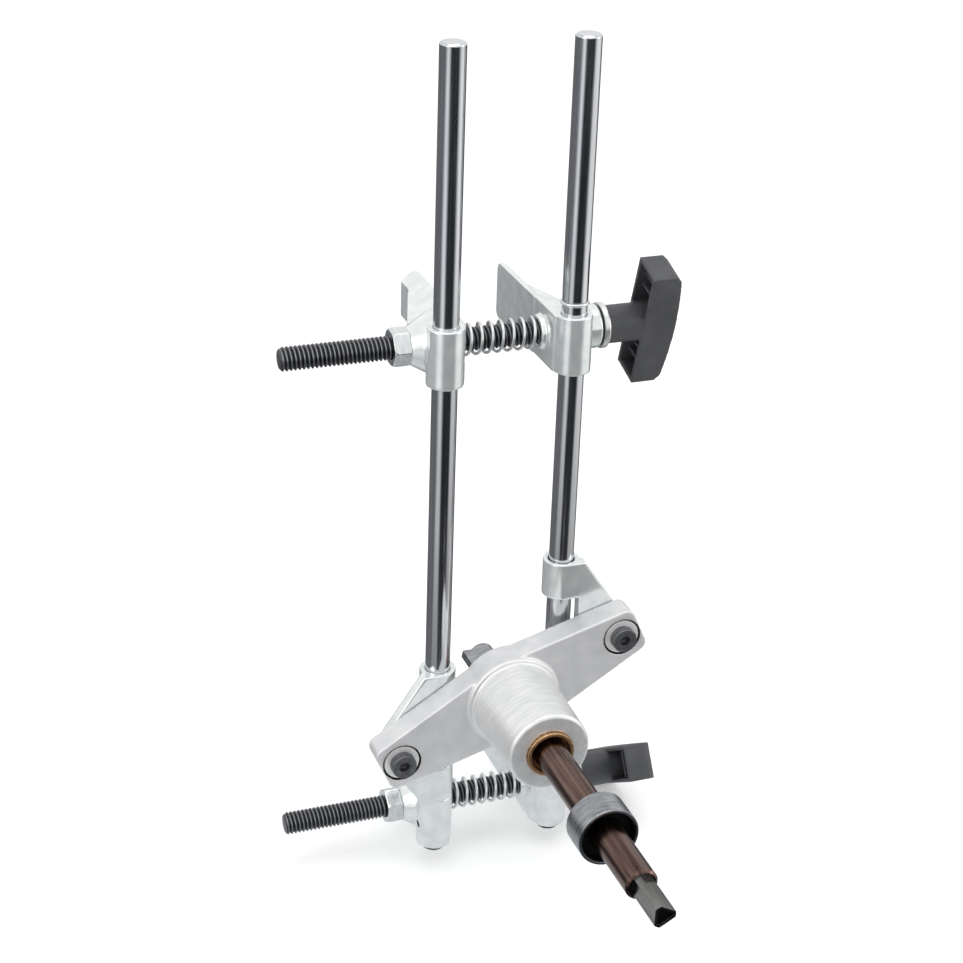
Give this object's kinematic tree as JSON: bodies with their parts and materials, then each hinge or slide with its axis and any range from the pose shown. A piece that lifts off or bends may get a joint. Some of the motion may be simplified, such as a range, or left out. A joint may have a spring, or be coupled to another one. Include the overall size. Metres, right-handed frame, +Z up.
{
  "type": "lock mortise router jig",
  "caption": "Door lock mortising jig: a tilting carriage with a plunging cutter spindle slides on upright guide rods that sprung screw clamps hold to a door edge.",
  "frame": {"origin": "on the gripping face of the lower right jaw, at the height of the lower clamp screw's axis and in the plane of the door's edge", "axes": "+X across the door towards the tee handles, +Y into the door from its edge, +Z up along the guide rods"},
  "size_m": [0.2015, 0.288, 0.4422],
  "materials": {
    "guide_steel": "ground and polished",
    "zinc_plate": "bright zinc plated casting",
    "bright_zinc": "bright zinc plated",
    "black_oxide": "black oxide steel",
    "handle_plastic": "fine moulded grain",
    "fibre": "pressed fibre",
    "cast_aluminium": "satin, turned boss",
    "bronze": "turned bearing bronze",
    "spindle_steel": "browned ground steel",
    "grey_steel": "turned steel",
    "seal_rubber": "matt black",
    "carbide": "ground"
  },
  "bodies": {
    "right_frame": {"right_guide_rod": "guide_steel", "lower_right_jaw": "zinc_plate", "upper_right_jaw": "zinc_plate", "right_grub_screws": "black_oxide", "rod_snap_ring": "bright_zinc", "lower_clamp_spring": "bright_zinc", "upper_clamp_spring": "bright_zinc"},
    "left_frame": {"left_guide_rod": "guide_steel", "lower_left_jaw": "zinc_plate", "upper_left_jaw": "zinc_plate", "left_grub_screws": "black_oxide", "lower_clamp_nut": "bright_zinc", "upper_clamp_nut": "bright_zinc"},
    "upper_clamp": {"upper_clamp_screw": "black_oxide", "upper_tee_handle": "handle_plastic", "upper_fibre_washer": "fibre", "upper_thrust_washer": "bright_zinc"},
    "lower_clamp": {"lower_clamp_screw": "black_oxide", "lower_tee_handle": "handle_plastic", "lower_fibre_washer": "fibre", "lower_thrust_washer": "bright_zinc"},
    "left_carrier": {"left_slider": "zinc_plate", "left_pivot_screw": "black_oxide", "left_pivot_washer": "bright_zinc"},
    "carriage": {"carriage_plate": "cast_aluminium", "front_spindle_bush": "bronze", "rear_spindle_bush": "bronze"},
    "right_carrier": {"right_slider": "zinc_plate", "right_pivot_screw": "black_oxide", "right_pivot_washer": "bright_zinc"},
    "depth_stop": {"depth_collar": "grey_steel", "collar_seal": "seal_rubber"},
    "cutter_drive": {"spindle": "spindle_steel", "cutter_body": "grey_steel", "cutter_tips": "carbide"}
  },
  "joints": [
    {"name": "upper_screw_turn", "type": "hinge", "parent": "right_frame", "child": "upper_clamp", "pos_m": [0, -0.0105, 0.2645], "axis": [-1, 0, 0], "range_deg": [-341, 1532]},
    {"name": "lower_screw_turn", "type": "hinge", "parent": "right_frame", "child": "lower_clamp", "pos_m": [0, -0.0105, 0], "axis": [-1, 0, 0], "range_deg": [-341, 1532]},
    {"name": "jaw_close", "type": "slide", "parent": "right_frame", "child": "left_frame", "axis": [1, 0, 0], "range_m": [-0.002, 0.009], "deforming": ["lower_clamp_spring", "upper_clamp_spring"]},
    {"name": "carriage_slide", "type": "slide", "parent": "left_frame", "child": "left_carrier", "axis": [0, 0, 1], "range_m": [0, 0.085]},
    {"name": "plate_tilt", "type": "hinge", "parent": "left_carrier", "child": "carriage", "pos_m": [-0.08092, -0.0438, 0.0535], "axis": [0, -1, 0], "range_deg": [-2, 8.6]},
    {"name": "right_pivot_turn", "type": "hinge", "parent": "carriage", "child": "right_carrier", "pos_m": [0.03692, -0.0438, 0.1072], "axis": [0, 1, 0], "range_deg": [-2, 8.6]},
    {"name": "plunge", "type": "slide", "parent": "carriage", "child": "depth_stop", "axis": [0, 1, 0], "range_m": [-0.008, 0.055]},
    {"name": "spindle_spin", "type": "hinge", "parent": "depth_stop", "child": "cutter_drive", "pos_m": [-0.022, -0.15, 0.08035], "axis": [0, 1, 0], "continuous": true}
  ],
  "couplings": [
    {"joint": "upper_screw_turn", "follows": "jaw_close", "rad_per_m": 2968.4},
    {"joint": "lower_screw_turn", "follows": "jaw_close", "rad_per_m": 2968.4},
    {"joint": "plate_tilt", "follows": "jaw_close", "rad_per_m": 16.565},
    {"joint": "right_pivot_turn", "follows": "jaw_close", "rad_per_m": 16.565}
  ]
}
